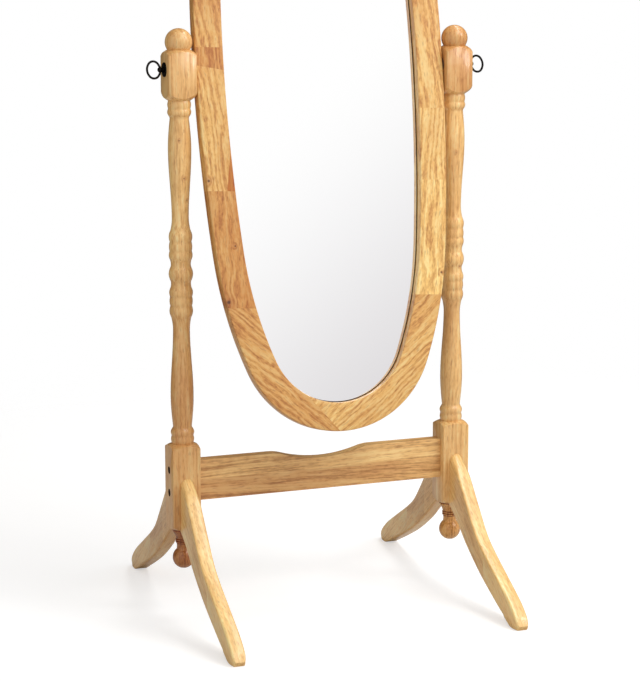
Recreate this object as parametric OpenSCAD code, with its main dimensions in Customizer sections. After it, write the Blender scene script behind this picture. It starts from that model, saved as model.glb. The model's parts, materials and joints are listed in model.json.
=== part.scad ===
// Cheval floor mirror: an oval framed mirror that tilts between two turned posts.
// Origin: on the floor, midway between the posts. X right, Y back, Z up. Millimetres.

/* [Stand] */
// Side of the square blank that each post is turned from
post_sq = 45; // [43:0.5:48]
// Height of the lower block's underside above the floor
lower_block_z = 137; // [125:1:150]
// Height of the lower block
lower_block_h = 137; // [130:1:150]
// Length of the turned spindle between the two blocks
spindle_len = 534; // [520:1:600]
// Height of the upper block
upper_block_h = 77; // [70:1:90]
// Diameter of the ball on top
ball_d = 42; // [36:0.5:42.5]

/* [Turning] */
// Diameter of the spindle's middle bead
bead_d = 37.6; // [36:0.1:41]
// Diameter at the thin waists
waist_d = 26.2; // [24:0.1:29]
// Diameter at the thick of each vase
swell_d = 35.8; // [33:0.1:37]
// Diameter at the small necks beside the blocks
neck_d = 29.8; // [27:0.1:32]
// Length of the turned shoulder where a block meets the spindle or the ball
shoulder_len = 11; // [7:0.5:14]

/* [Legs] */
// Thickness of a leg
leg_t = 22; // [18:0.5:26]
// Distance from the post axis to the tip of a toe
leg_reach = 276; // [250:1:300]
// Height of a leg's rounded top above the floor
leg_top = 221; // [205:1:235]
// Depth of the round-topped groove that a leg is let into
groove_depth = 8; // [5:0.5:9]
// Diameter of the wooden dowels
dowel_d = 8; // [6:0.5:9]
// Length of the wooden dowels
dowel_len = 20; // [14:1:20]

/* [Drop finials] */
// Diameter of the finial's ball
drop_ball_d = 35; // [28:0.5:38]
// Length of the finial below the block
drop_len = 63; // [56:1:80]
// Diameter of the finial's neck
drop_neck_d = 22.6; // [20:0.1:25]
// Diameter of the spigot that holds the finial
spigot_d = 12; // [10:0.5:14]
// Length of the spigot
spigot_len = 20; // [12:1:21]

/* [Stretcher] */
// Thickness of the stretcher
stretcher_t = 19; // [17:0.5:24]
// Height of the stretcher at its ends
stretcher_h = 64; // [58:1:70]
// Height of the stretcher's underside above the floor
stretcher_z = 182; // [176:1:188]
// Depth of the scoop in the stretcher's top edge
scoop_depth = 13; // [8:0.5:18]
// Width of the scoop
scoop_w = 172; // [140:1:220]
// Distance between the two bolts at each end
bolt_pitch = 36; // [32:1:40]
// Diameter of the stretcher bolts
bolt_d = 6; // [5:0.5:6.5]
// Length of the stretcher bolts under the head
bolt_len = 74; // [66:1:84]
// Depth of the bolt's counterbore
counterbore_depth = 11; // [9:0.5:13]

/* [Mirror] */
// Width of the oval frame
frame_w = 410; // [380:1:440]
// Height of the oval frame
frame_h = 1156; // [1060:2:1176]
// Width of the frame's face
face_w = 44.5; // [42:0.5:50]
// Thickness of the frame
frame_t = 21; // [19:0.5:24]
// Radius of the frame's top and bottom arcs as a share of half its width
end_share = 0.77; // [0.74:0.01:0.80]
// Thickness of the glass
glass_t = 4; // [3:0.5:5]
// How far the glass runs past the frame's sight edge
glass_lap = 6; // [5:0.5:8]
// Thickness of the backing board
board_t = 3; // [2.5:0.5:4]
// How far the backing board runs past the frame's sight edge
board_lap = 16; // [14:0.5:18]
// Tilt of the mirror as it stands, top backwards
rest_tilt = 10; // [0:1:20]

/* [Pivot] */
// Height of the pivot above the upper block's underside
pivot_up = 47; // [40:1:50]
// Height of the frame's centre above the pivot
frame_rise = 10; // [0:1:15]
// Gap between the frame and each post
side_gap = 2; // [1.6:0.1:3]
// Diameter of the ring bolt's shank
shank_d = 8; // [7:0.5:8]
// Length of the threaded insert in the frame
insert_len = 20; // [16:1:24]
// Diameter of the rosette under the ring
rosette_d = 22.5; // [20:0.5:30]
// Width of the ring along the bolt
ring_w = 24; // [22:0.5:28]
// Height of the ring across the bolt
ring_h = 29.6; // [28:0.5:34]
// Thickness of the ring's wire
wire_d = 3.4; // [2.4:0.1:3.8]
// Turn of the rings about their bolts, tops backwards
ring_turn = 14; // [0:1:90]

/* [Hidden] */
$fn = 96;

// Clearances
run_fit = 0.1;        // shank in the post, radial
thread_fit = 0.05;    // shank in its insert, radial
bolt_fit = 0.2;       // stretcher bolt in its holes, radial
body_gap = 0.1;       // flat faces of pieces that move past each other
glue_gap = 0.05;      // glued wood joints, each side
pocket_fit = 0.5;     // glass and board inside the frame's pockets, each side
over = 1;             // how far a cutter runs past the face that it cuts

// Places shared by several pieces
post_spacing = frame_w + 2 * side_gap + post_sq;
spindle_z = lower_block_z + lower_block_h;
upper_block_z = spindle_z + spindle_len;
pivot_z = upper_block_z + pivot_up;
ball_z = upper_block_z + upper_block_h;
half_sq = post_sq / 2;
arris_r = 1.6;
turn_r = half_sq * sqrt(2);
ball_neck_r = ball_d / 2 - 3;

// Turned bands of the spindle
ring_band = 14.5;
cove_band = 9;
bead_half = 12;
outer_band = 18.5;
waist_band = 17;
shoulder_band = 45;
neck_band = 4;
block_bead = 12.5;
vase_band = spindle_len / 2 - bead_half - cove_band - 2 * ring_band - outer_band
    - waist_band - shoulder_band - neck_band - 2 * block_bead;
band_steps = 8;
vase_steps = 14;
bead_end_d = neck_d + 3.8;

// Drop finial
drop_collar_h = 6;
drop_ball_r = drop_ball_d / 2;
drop_z = lower_block_z - drop_len;
drop_flat_r = 7;

// Legs
leg_edge = half_sq - groove_depth;
leg_steps = 5;
toe_inset = 4;
low_dowel_up = 39;
high_dowel_down = 15;
dowel_zs = [lower_block_z + low_dowel_up, leg_top - high_dowel_down];
dowel_start = bolt_d / 2 + 2;

// Stretcher
stretcher_len = post_spacing - post_sq;
bolt_zs = [for (k = [-1, 1]) stretcher_z + stretcher_h / 2 + k * bolt_pitch / 2];
scoop_edge_r = 70;
bolt_head_d = 10;
bolt_head_h = 6;
counterbore_d = 12;
washer_t = 1.2;
nut_d = 10;
nut_len = stretcher_t - 4;
nut_inset = 28;
nut_x = stretcher_len / 2 - nut_inset;
hex_d = 5.8;

// Oval: normal angles where the side arc meets the shoulder arc, and the shoulder arc the end arc
side_angle = 5.5;
shoulder_angle = 22;
side_steps = 6;
shoulder_steps = 6;
end_steps = 14;
end_r = end_share * frame_w / 2;
oval_p = frame_w / 2 - end_r * cos(shoulder_angle);
oval_q = frame_h / 2 - end_r * (1 - sin(shoulder_angle));
oval_s = sin(shoulder_angle) - sin(side_angle);
oval_c = cos(side_angle) - cos(shoulder_angle);
oval_k = (1 - cos(side_angle)) * oval_s - oval_c * sin(side_angle);
side_r = (oval_p * oval_s - oval_q * oval_c) / oval_k;
shoulder_r = (oval_q * (1 - cos(side_angle)) - oval_p * sin(side_angle)) / oval_k;
side_c = [frame_w / 2 - side_r, 0];
shoulder_c = side_c + (side_r - shoulder_r) * [cos(side_angle), sin(side_angle)];
end_c = [0, frame_h / 2 - end_r];

// Frame section, front to back
frame_front = -frame_t / 2;
board_y = frame_t / 2 - board_t;
glass_y = board_y - glass_t;
screw_inset = face_w - (board_lap + glass_lap) / 2;
screw_angles = [2.8, 12, 45];
screw_d = 3;
screw_len = 12;
screw_tip_y = frame_t / 2 - screw_len;
screw_head_d = 6;

// Pivot hardware
spacer_t = side_gap - body_gap;
spacer_d = 22;
insert_d = 12;
rosette_t = 2.3;
rosette_rim = 0.9;
boss_d = 10;
neck_bolt_d = 7;
neck_bolt_len = 1.2;
knuckle_d = 8.6;
ring_half_w = (ring_w - wire_d) / 2;
ring_end_r = 0.85 * ring_half_w;
ring_lift = (ring_h - wire_d) / 2 - ring_end_r;
ring_side_r = (ring_half_w * ring_half_w + ring_lift * ring_lift - ring_end_r * ring_end_r)
    / (2 * (ring_half_w - ring_end_r));
ring_meet = atan(ring_lift / (ring_side_r - ring_half_w));
ring_steps = 56;
wire_steps = 16;
side_x = frame_w / 2;
post_in_x = side_x + side_gap;
post_out_x = post_in_x + post_sq;
shank_tip_x = side_x - insert_len + 2;
bolt_seat_x = post_out_x - counterbore_depth + washer_t;
bolt_tip_x = bolt_seat_x - bolt_len;

// ---------- Outlines ----------

// Straight run from radius r0 to r1 with a bulge on it; a negative rise hollows it
function bow(z, len, r0, r1, rise) =
    [for (i = [1:band_steps]) let (t = i / band_steps)
        [r0 + (r1 - r0) * t + rise * sin(180 * t), z + len * t]];

// Smooth S from radius r0 to r1
function ease(z, len, r0, r1) =
    [for (i = [1:vase_steps]) let (t = i / vase_steps)
        [r0 + (r1 - r0) * (1 - cos(180 * t)) / 2, z + len * t]];

// Rounding over from radius r0 down to r1
function fall(z, len, r0, r1) =
    [for (i = [1:band_steps]) let (t = i / band_steps)
        [r1 + (r0 - r1) * cos(90 * t), z + len * t]];

// Hollow curve from radius r0 down to r1
function sag(z, len, r0, r1) =
    [for (i = [1:band_steps]) let (t = i / band_steps)
        [r1 + (r0 - r1) * (1 - sin(90 * t)), z + len * t]];

// Outline of half a spindle, from its middle (height 0) up to the block
function half_spindle() =
    let (cove_r = waist_d / 2 + 2.5, ring_r = cove_r + 0.6, groove_r = ring_r + 0.9,
        foot_r = groove_r - 1.8, end_r0 = bead_end_d / 2, groove_end = end_r0 + 0.2,
        z1 = bead_half, z2 = z1 + cove_band, z3 = z2 + ring_band, z4 = z3 + ring_band,
        z5 = z4 + outer_band, z6 = z5 + waist_band, z7 = z6 + vase_band,
        z8 = z7 + shoulder_band, z9 = z8 + neck_band, z10 = z9 + block_bead)
    concat(
        [[bead_d / 2, 0]],
        fall(0, bead_half, bead_d / 2, cove_r),
        bow(z1, cove_band, cove_r, ring_r, -0.5),
        bow(z2, ring_band, ring_r, groove_r, 1.7),
        bow(z3, ring_band, groove_r, groove_r - 0.3, 1),
        bow(z4, outer_band, groove_r - 0.3, foot_r, 2.1),
        sag(z5, waist_band, foot_r, waist_d / 2),
        ease(z6, vase_band, waist_d / 2, swell_d / 2),
        fall(z7, shoulder_band, swell_d / 2, neck_d / 2),
        bow(z8, neck_band, neck_d / 2, neck_d / 2 + 0.3, -0.3),
        bow(z9, block_bead, neck_d / 2 + 0.3, groove_end, 2.2),
        bow(z10, block_bead, groove_end, end_r0, 1.2));

// The same points mirrored in height, last one first
function flip(points) = [for (i = [len(points) - 1:-1:0]) [points[i][0], -points[i][1]]];
function lift(points, z) = [for (p = points) [p[0], p[1] + z]];

// Turned outline that bounds the lower block: its rounded foot, its corners, its top shoulder
function lower_block_outline() =
    let (foot = shoulder_len - 1, top = shoulder_len - 3)
    concat(
        [[0, lower_block_z], [half_sq - 3, lower_block_z]],
        bow(lower_block_z, foot, half_sq - 3, turn_r, 2),
        [[turn_r, spindle_z - top]],
        bow(spindle_z - top, top, turn_r, bead_end_d / 2 + 0.6, 1.5),
        [[0, spindle_z]]);

// Turned outline that bounds the upper block, between the spindle and the ball's neck
function upper_block_outline() =
    let (foot = shoulder_len + 4)
    concat(
        [[0, upper_block_z], [bead_end_d / 2 + 0.6, upper_block_z]],
        bow(upper_block_z, foot, bead_end_d / 2 + 0.6, turn_r, 2.5),
        [[turn_r, ball_z - shoulder_len]],
        bow(ball_z - shoulder_len, shoulder_len, turn_r, ball_neck_r, 1.5),
        [[0, ball_z]]);

// The spindle, run a little way into both blocks
function spindle_outline() =
    let (half = half_spindle(), z = spindle_z + spindle_len / 2, r = bead_end_d / 2)
    concat(
        [[0, spindle_z - over], [r, spindle_z - over]],
        lift(flip(half), z),
        [for (p = half) if (p[1] > 0) [p[0], p[1] + z]],
        [[r, upper_block_z + over], [0, upper_block_z + over]]);

// The ball, run a little way into the upper block
function ball_outline() =
    let (ball_r = ball_d / 2, neck_r = ball_neck_r - 0.4,
        sink = sqrt(ball_r * ball_r - neck_r * neck_r), start = asin(-sink / ball_r))
    concat(
        [[0, ball_z - over], [neck_r, ball_z - over]],
        [for (i = [0:20]) let (a = start + (90 - start) * i / 20)
            [i == 20 ? 0 : ball_r * cos(a), ball_z + sink + ball_r * sin(a)]]);

// The drop finial: a ball below two thin rings and a collar, with a spigot above
function drop_outline() =
    let (neck_r = drop_neck_d / 2, ring_r = neck_r + 1.5, collar_r = half_sq - 5,
        ball_z0 = drop_z + sqrt(drop_ball_r * drop_ball_r - drop_flat_r * drop_flat_r),
        top = 50, start = -90 + asin(drop_flat_r / drop_ball_r),
        ball_top = ball_z0 + drop_ball_r * sin(top), ball_top_r = drop_ball_r * cos(top),
        cove = (lower_block_z - drop_collar_h - ball_top - 7) / 2,
        z1 = ball_top + cove, z2 = z1 + 3.5, z3 = z2 + 3.5, z4 = lower_block_z - drop_collar_h)
    concat(
        [[0, drop_z], [drop_flat_r, drop_z]],
        [for (i = [1:16]) let (a = start + (top - start) * i / 16)
            [drop_ball_r * cos(a), ball_z0 + drop_ball_r * sin(a)]],
        bow(ball_top, cove, ball_top_r, neck_r, -0.6),
        bow(z1, 3.5, neck_r, neck_r + 0.2, 1.4),
        bow(z2, 3.5, neck_r + 0.2, neck_r + 0.4, 1.2),
        bow(z3, z4 - z3, neck_r + 0.4, collar_r - 1.5, -0.8),
        bow(z4, drop_collar_h - 1, collar_r - 1.5, collar_r, 0.8),
        [[collar_r - 0.3, lower_block_z], [spigot_d / 2, lower_block_z],
            [spigot_d / 2, lower_block_z + spigot_len], [0, lower_block_z + spigot_len]]);

// Smooth curve through points, each span cut into n pieces
function spline_point(a, b, c, d, t) =
    0.5 * ((2 * b) + (c - a) * t + (2 * a - 5 * b + 4 * c - d) * t * t
        + (3 * b - a - 3 * c + d) * t * t * t);
function spline(p, n) =
    let (last = len(p) - 1)
    [for (i = [0:last - 1], j = [0:n - 1])
        spline_point(p[max(i - 1, 0)], p[i], p[i + 1], p[min(i + 2, last)], j / n),
        p[last]];

// Top edge of a leg: share of the reach beyond the block, share of the leg's height
leg_top_shape = [
    [0, 1], [0.116, 0.882], [0.25, 0.701], [0.389, 0.518], [0.511, 0.416],
    [0.688, 0.299], [0.866, 0.181], [0.953, 0.104], [0.988, 0.054], [1, 0.032]
];
// Underside of a leg: share of the reach beyond the block, share of the block's height
leg_under_shape = [
    [0.9, 0], [0.83, 0.055], [0.75, 0.118], [0.65, 0.205], [0.463, 0.382],
    [0.266, 0.613], [0.148, 0.788], [0.05, 0.927], [0, 1]
];

function leg_outline() =
    let (run = leg_reach - half_sq)
    concat(
        [[leg_edge, leg_top]],
        spline([for (s = leg_top_shape) [half_sq + s[0] * run, s[1] * leg_top]], leg_steps),
        [[leg_reach - toe_inset, 0]],
        spline([for (s = leg_under_shape) [half_sq + s[0] * run, s[1] * lower_block_z]], leg_steps),
        [[leg_edge, lower_block_z]]);

// Point of the oval at a normal angle from 0 (side) to 90 (top), inset from the frame's outside
function oval_point(a, inset) =
    let (n = [cos(a), sin(a)])
    a < side_angle ? side_c + (side_r - inset) * n
        : a < shoulder_angle ? shoulder_c + (shoulder_r - inset) * n
        : end_c + (end_r - inset) * n;
oval_angles = concat(
    [for (i = [0:side_steps - 1]) side_angle * i / side_steps],
    [for (i = [0:shoulder_steps - 1])
        side_angle + (shoulder_angle - side_angle) * i / shoulder_steps],
    [for (i = [0:end_steps]) shoulder_angle + (90 - shoulder_angle) * i / end_steps]);
function oval(inset) =
    let (q = [for (a = oval_angles) oval_point(a, inset)], n = len(q) - 1)
    concat(
        q,
        [for (i = [n - 1:-1:0]) [-q[i][0], q[i][1]]],
        [for (i = [1:n]) [-q[i][0], -q[i][1]]],
        [for (i = [n - 1:-1:1]) [q[i][0], -q[i][1]]]);

// Point of the ring's centre line where its normal is at an angle from X
function ring_line(a) =
    let (c = abs(cos(a)), up = abs(sin(a)), sx = sign(cos(a)), sz = sign(sin(a)))
    atan2(up, c) < ring_meet
        ? [sx * (ring_half_w - ring_side_r + ring_side_r * c), sz * ring_side_r * up]
        : [sx * ring_end_r * c, sz * (ring_lift + ring_end_r * up)];

// Top edge of the stretcher's scoop, left to right: one hollow arc between two round shoulders
function scoop_edge() =
    let (half = scoop_w / 2, slope = 2 * atan(scoop_depth / half),
        hollow_r = half / sin(slope) - scoop_edge_r,
        right = concat(
            [for (i = [1:6]) let (a = slope * i / 6)
                [hollow_r * sin(a), hollow_r * (1 - cos(a)) - scoop_depth]],
            [for (i = [5:-1:0]) let (a = slope * i / 6)
                [half - scoop_edge_r * sin(a), scoop_edge_r * (cos(a) - 1)]]))
    concat(
        [for (i = [len(right) - 1:-1:0]) [-right[i][0], right[i][1]]],
        [[0, -scoop_depth]],
        right);

// ---------- Helpers ----------

module turned(outline) {
    rotate_extrude() polygon(outline);
}

// Round bar along X, from x0 to x1
module bar_x(d, x0, x1) {
    translate([x0, 0, 0]) rotate([0, 90, 0]) cylinder(d = d, h = x1 - x0);
}

// Round bar along Y, from y0 to y1
module bar_y(d, y0, y1) {
    translate([0, y0, 0]) rotate([-90, 0, 0]) cylinder(d = d, h = y1 - y0);
}

// Flat shape in the XZ plane, thickened from y0 to y0 + t
module slab(y0, t) {
    translate([0, y0 + t, 0]) rotate([90, 0, 0]) linear_extrude(t) children();
}

// Puts a piece modelled for the right on the right (side 1) or its mirror image on the left (-1)
module on_side(side) {
    if (side < 0) mirror([1, 0, 0]) children();
    else children();
}

// Moves a piece modelled about a post's foot onto the right or left post's axis
module at_post(side) {
    on_side(side) translate([post_spacing / 2, 0, 0]) children();
}

// Moves a piece modelled about the pivot into the standing mirror
module on_mirror() {
    translate([0, 0, pivot_z]) rotate([-rest_tilt, 0, 0]) children();
}

// ---------- Posts ----------

// Square bar with rounded arrises
module blank(z, h) {
    inner = half_sq - arris_r;
    translate([0, 0, z]) linear_extrude(h) {
        square([post_sq, 2 * inner], center = true);
        square([2 * inner, post_sq], center = true);
        for (x = [-inner, inner], y = [-inner, inner])
            translate([x, y]) circle(r = arris_r);
    }
}

module lower_block() {
    intersection() {
        blank(lower_block_z, lower_block_h + over);
        turned(lower_block_outline());
    }
}

module upper_block() {
    intersection() {
        blank(upper_block_z - over, upper_block_h + over);
        turned(upper_block_outline());
    }
}

// Round-topped groove or leg end: width w, top of the arch at z
module arch(w, bottom, top) {
    translate([0, top - leg_t / 2]) circle(d = w);
    translate([-w / 2, bottom]) square([w, top - leg_t / 2 - bottom]);
}

module post() {
    difference() {
        union() {
            lower_block();
            turned(spindle_outline());
            upper_block();
            turned(ball_outline());
        }
        for (y = [-half_sq - over, leg_edge - glue_gap])
            slab(y, groove_depth + over + glue_gap)
                arch(leg_t + 2 * glue_gap, lower_block_z - over, leg_top);
        for (z = dowel_zs, turn = [0, 180])
            translate([0, 0, z]) rotate([0, 0, turn])
                bar_y(dowel_d + 2 * glue_gap, dowel_start - over, half_sq);
        translate([0, 0, lower_block_z - over])
            cylinder(d = spigot_d + 2 * glue_gap, h = spigot_len + 2 * over);
        for (z = bolt_zs) translate([0, 0, z]) {
            bar_x(bolt_d + 2 * bolt_fit, -half_sq - over, half_sq);
            bar_x(counterbore_d, half_sq - counterbore_depth, half_sq + over);
        }
        translate([0, 0, pivot_z])
            bar_x(shank_d + 2 * run_fit, -half_sq - over, half_sq + over);
    }
}

module left_post() {
    color("burlywood") at_post(-1) post();
}

module right_post() {
    color("burlywood") at_post(1) post();
}

// ---------- Drop finials ----------

module drop_finial() {
    turned(drop_outline());
}

module left_drop_finial() {
    color("sienna") at_post(-1) drop_finial();
}

module right_drop_finial() {
    color("sienna") at_post(1) drop_finial();
}

// ---------- Legs ----------

// Leg on the back of a post
module leg() {
    difference() {
        intersection() {
            translate([-leg_t / 2, 0, 0]) rotate([90, 0, 90])
                linear_extrude(leg_t) polygon(leg_outline());
            slab(0, leg_reach + over) arch(leg_t, -over, leg_top);
        }
        for (z = dowel_zs) translate([0, 0, z])
            bar_y(dowel_d + 2 * glue_gap, leg_edge - over, dowel_start + dowel_len + over);
    }
}

module front_left_leg() {
    color("peru") at_post(-1) mirror([0, 1, 0]) leg();
}

module back_left_leg() {
    color("peru") at_post(-1) leg();
}

module front_right_leg() {
    color("peru") at_post(1) mirror([0, 1, 0]) leg();
}

module back_right_leg() {
    color("peru") at_post(1) leg();
}

module leg_dowels() {
    for (z = dowel_zs, turn = [0, 180])
        translate([0, 0, z]) rotate([0, 0, turn])
            bar_y(dowel_d, dowel_start, dowel_start + dowel_len);
}

module left_leg_dowels() {
    color("wheat") at_post(-1) leg_dowels();
}

module right_leg_dowels() {
    color("wheat") at_post(1) leg_dowels();
}

// ---------- Stretcher and its bolts ----------

module stretcher() {
    half = stretcher_len / 2;
    outline = concat(
        [[-half, 0], [half, 0], [half, stretcher_h]],
        [for (i = [len(scoop_edge()) - 1:-1:0]) scoop_edge()[i] + [0, stretcher_h]],
        [[-half, stretcher_h]]);
    color("chocolate") difference() {
        translate([0, 0, stretcher_z])
            slab(-stretcher_t / 2, stretcher_t) polygon(outline);
        for (side = [-1, 1], z = bolt_zs) on_side(side) translate([0, 0, z]) {
            bar_x(bolt_d + 2 * bolt_fit, bolt_tip_x - 2, half + over);
            translate([nut_x, 0, 0])
                bar_y(nut_d + 2 * glue_gap, -nut_len / 2 - glue_gap, stretcher_t / 2 + over);
        }
    }
}

// Socket-head bolt with its head in the post's counterbore
module stretcher_bolt() {
    difference() {
        union() {
            bar_x(bolt_d, bolt_tip_x, bolt_seat_x + over);
            bar_x(bolt_head_d, bolt_seat_x, bolt_seat_x + bolt_head_h);
        }
        translate([bolt_seat_x + bolt_head_h - 3, 0, 0]) rotate([0, 90, 0])
            linear_extrude(3 + over) circle(d = hex_d, $fn = 6);
    }
}

module stretcher_bolts() {
    for (z = bolt_zs) translate([0, 0, z]) stretcher_bolt();
}

module left_stretcher_bolts() {
    color("dimgray") on_side(-1) stretcher_bolts();
}

module right_stretcher_bolts() {
    color("dimgray") stretcher_bolts();
}

module bolt_washers() {
    for (z = bolt_zs) translate([0, 0, z]) difference() {
        bar_x(counterbore_d - 0.6, bolt_seat_x - washer_t, bolt_seat_x);
        bar_x(bolt_d + 2 * bolt_fit, bolt_seat_x - washer_t - over, bolt_seat_x + over);
    }
}

module left_bolt_washers() {
    color("silver") on_side(-1) bolt_washers();
}

module right_bolt_washers() {
    color("silver") bolt_washers();
}

module barrel_nuts() {
    for (z = bolt_zs) translate([nut_x, 0, z]) difference() {
        bar_y(nut_d, -nut_len / 2, nut_len / 2);
        bar_x(bolt_d + 2 * thread_fit, -nut_d, nut_d);
    }
}

module left_barrel_nuts() {
    color("silver") on_side(-1) barrel_nuts();
}

module right_barrel_nuts() {
    color("silver") barrel_nuts();
}

// ---------- Mirror ----------

module mirror_frame() {
    color("goldenrod") on_mirror() difference() {
        translate([0, 0, frame_rise]) difference() {
            slab(frame_front, frame_t) polygon(oval(0));
            slab(frame_front - over, frame_t + 2 * over) polygon(oval(face_w));
            slab(glass_y, frame_t) polygon(oval(face_w - glass_lap));
            slab(board_y, frame_t) polygon(oval(face_w - board_lap));
            at_screws() bar_y(screw_d + 2 * glue_gap, screw_tip_y, board_y + over);
        }
        for (side = [-1, 1]) on_side(side)
            bar_x(insert_d + 2 * glue_gap, side_x - insert_len - 1, side_x + over);
    }
}

module mirror_glass() {
    color("lightcyan") on_mirror() translate([0, 0, frame_rise])
        slab(glass_y, glass_t) polygon(oval(face_w - glass_lap + pocket_fit));
}

module backing_board() {
    color("tan") on_mirror() translate([0, 0, frame_rise]) difference() {
        slab(board_y, board_t) polygon(oval(face_w - board_lap + pocket_fit));
        at_screws() {
            bar_y(screw_d + 2 * bolt_fit, board_y - over, frame_t / 2 + over);
            screw_head(glue_gap);
        }
    }
}

// Places for the backing screws, spaced around the oval
module at_screws() {
    for (a = screw_angles, sx = [-1, 1], sz = [-1, 1])
        let (p = oval_point(a, screw_inset))
            translate([sx * p[0], 0, sz * p[1]]) children();
    for (sz = [-1, 1])
        translate([0, 0, sz * oval_point(90, screw_inset)[1]]) children();
}

// Countersunk head, grown by fit all round
module screw_head(fit) {
    cone = (screw_head_d - screw_d) / 2;
    translate([0, frame_t / 2 - cone - fit, 0]) rotate([-90, 0, 0])
        cylinder(d1 = screw_d, d2 = screw_head_d + 2 * fit, h = cone + fit);
}

module backing_screws() {
    color("darkgoldenrod") on_mirror() translate([0, 0, frame_rise])
        at_screws() difference() {
            union() {
                bar_y(screw_d, screw_tip_y, frame_t / 2 - 0.5);
                screw_head(0);
            }
            for (turn = [0, 90]) rotate([0, turn, 0])
                translate([-1.6, frame_t / 2 - 0.8, -0.35]) cube([3.2, 2, 0.7]);
        }
}

// ---------- Pivots ----------

module pivot_insert() {
    difference() {
        bar_x(insert_d, side_x - insert_len, side_x);
        bar_x(shank_d + 2 * thread_fit, side_x - insert_len - over, side_x + over);
    }
}

module left_pivot_insert() {
    color("silver") on_mirror() on_side(-1) pivot_insert();
}

module right_pivot_insert() {
    color("silver") on_mirror() pivot_insert();
}

module spacer() {
    difference() {
        bar_x(spacer_d, side_x, side_x + spacer_t);
        bar_x(shank_d + 2 * run_fit, side_x - over, side_x + spacer_t + over);
    }
}

module left_spacer() {
    color("saddlebrown") on_mirror() on_side(-1) spacer();
}

module right_spacer() {
    color("saddlebrown") on_mirror() spacer();
}

// Disc with a rounded rim under the ring
module rosette() {
    r = rosette_d / 2;
    bore_r = shank_d / 2 + run_fit;
    outline = concat(
        [[bore_r, body_gap], [r, body_gap]],
        [for (i = [0:6]) [r - 2.4 + 2.4 * cos(15 * i), rosette_rim + 1.4 * sin(15 * i)]],
        [[bore_r, rosette_t]]);
    translate([post_out_x, 0, 0]) rotate([0, 90, 0]) turned(outline);
}

module left_rosette() {
    color("black") on_mirror() on_side(-1) rosette();
}

module right_rosette() {
    color("black") on_mirror() rosette();
}

// Oval ring of round wire in the XZ plane about the origin
module ring() {
    points = [for (i = [0:ring_steps - 1], k = [0:wire_steps - 1])
        let (a = 360 * i / ring_steps, b = 360 * k / wire_steps, c = ring_line(a),
            out = wire_d / 2 * cos(b))
        [c[0] + out * cos(a), wire_d / 2 * sin(b), c[1] + out * sin(a)]];
    faces = [for (i = [0:ring_steps - 1], k = [0:wire_steps - 1], half = [0, 1])
        let (i2 = (i + 1) % ring_steps, k2 = (k + 1) % wire_steps,
            p = i * wire_steps + k, q = i * wire_steps + k2,
            r = i2 * wire_steps + k2, t = i2 * wire_steps + k)
        half == 0 ? [p, r, q] : [p, t, r]];
    polyhedron(points, faces);
}

// Bolt with a key-shaped ring for a head
module ring_bolt() {
    seat_x = post_out_x + rosette_t + body_gap;
    neck_x = seat_x + neck_bolt_len;
    knuckle_x = neck_x + knuckle_d / 2 - 1;
    rotate([-ring_turn, 0, 0]) {
        bar_x(shank_d, shank_tip_x, seat_x + over);
        bar_x(boss_d, seat_x, seat_x + 1.4);
        bar_x(neck_bolt_d, seat_x, knuckle_x);
        translate([knuckle_x, 0, 0]) sphere(d = knuckle_d);
        translate([knuckle_x + ring_half_w, 0, 0]) ring();
    }
}

module left_ring_bolt() {
    color("black") translate([0, 0, pivot_z]) on_side(-1) ring_bolt();
}

module right_ring_bolt() {
    color("black") translate([0, 0, pivot_z]) ring_bolt();
}

// ---------- Parts ----------

left_post();
right_post();
left_drop_finial();
right_drop_finial();
stretcher();
front_left_leg();
back_left_leg();
front_right_leg();
back_right_leg();
left_leg_dowels();
right_leg_dowels();
left_stretcher_bolts();
right_stretcher_bolts();
left_bolt_washers();
right_bolt_washers();
left_barrel_nuts();
right_barrel_nuts();
mirror_frame();
mirror_glass();
backing_board();
backing_screws();
left_pivot_insert();
right_pivot_insert();
left_spacer();
right_spacer();
left_rosette();
right_rosette();
left_ring_bolt();
right_ring_bolt();
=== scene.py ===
"""Cheval floor mirror: an oval mirror that tilts between two turned posts.

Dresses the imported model. Lengths are in metres, in the model's own frame: X right, Y back, Z up.
"""

from __future__ import annotations

import json
import logging
import math
from dataclasses import dataclass
from enum import Enum
from typing import Any, Callable, ClassVar, Mapping, Sequence

import bmesh
import bpy
from mathutils import Matrix, Vector

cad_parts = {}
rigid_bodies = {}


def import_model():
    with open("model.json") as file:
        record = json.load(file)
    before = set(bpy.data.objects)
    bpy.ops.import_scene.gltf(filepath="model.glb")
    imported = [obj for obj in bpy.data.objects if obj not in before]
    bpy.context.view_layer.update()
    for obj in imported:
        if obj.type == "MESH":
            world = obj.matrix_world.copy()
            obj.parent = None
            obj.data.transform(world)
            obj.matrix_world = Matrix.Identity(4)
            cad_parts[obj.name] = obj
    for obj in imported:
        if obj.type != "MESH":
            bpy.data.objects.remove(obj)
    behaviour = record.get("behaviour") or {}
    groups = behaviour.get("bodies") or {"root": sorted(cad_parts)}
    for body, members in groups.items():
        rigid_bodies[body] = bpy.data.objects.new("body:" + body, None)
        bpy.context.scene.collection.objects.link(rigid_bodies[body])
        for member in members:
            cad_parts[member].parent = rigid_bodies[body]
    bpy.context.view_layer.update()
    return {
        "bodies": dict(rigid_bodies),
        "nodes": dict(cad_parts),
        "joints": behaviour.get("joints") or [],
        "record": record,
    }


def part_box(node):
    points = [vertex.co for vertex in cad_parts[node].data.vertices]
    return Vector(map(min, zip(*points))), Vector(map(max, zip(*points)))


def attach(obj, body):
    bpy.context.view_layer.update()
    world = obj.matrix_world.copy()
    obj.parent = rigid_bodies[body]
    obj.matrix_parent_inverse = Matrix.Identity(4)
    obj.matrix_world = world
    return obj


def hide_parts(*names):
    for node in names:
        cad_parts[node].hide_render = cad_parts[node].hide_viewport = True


Colour = tuple[float, float, float, float]
Face = bmesh.types.BMFace
Mesh = bmesh.types.BMesh
Object = bpy.types.Object
Pair = tuple[float, float]
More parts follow.
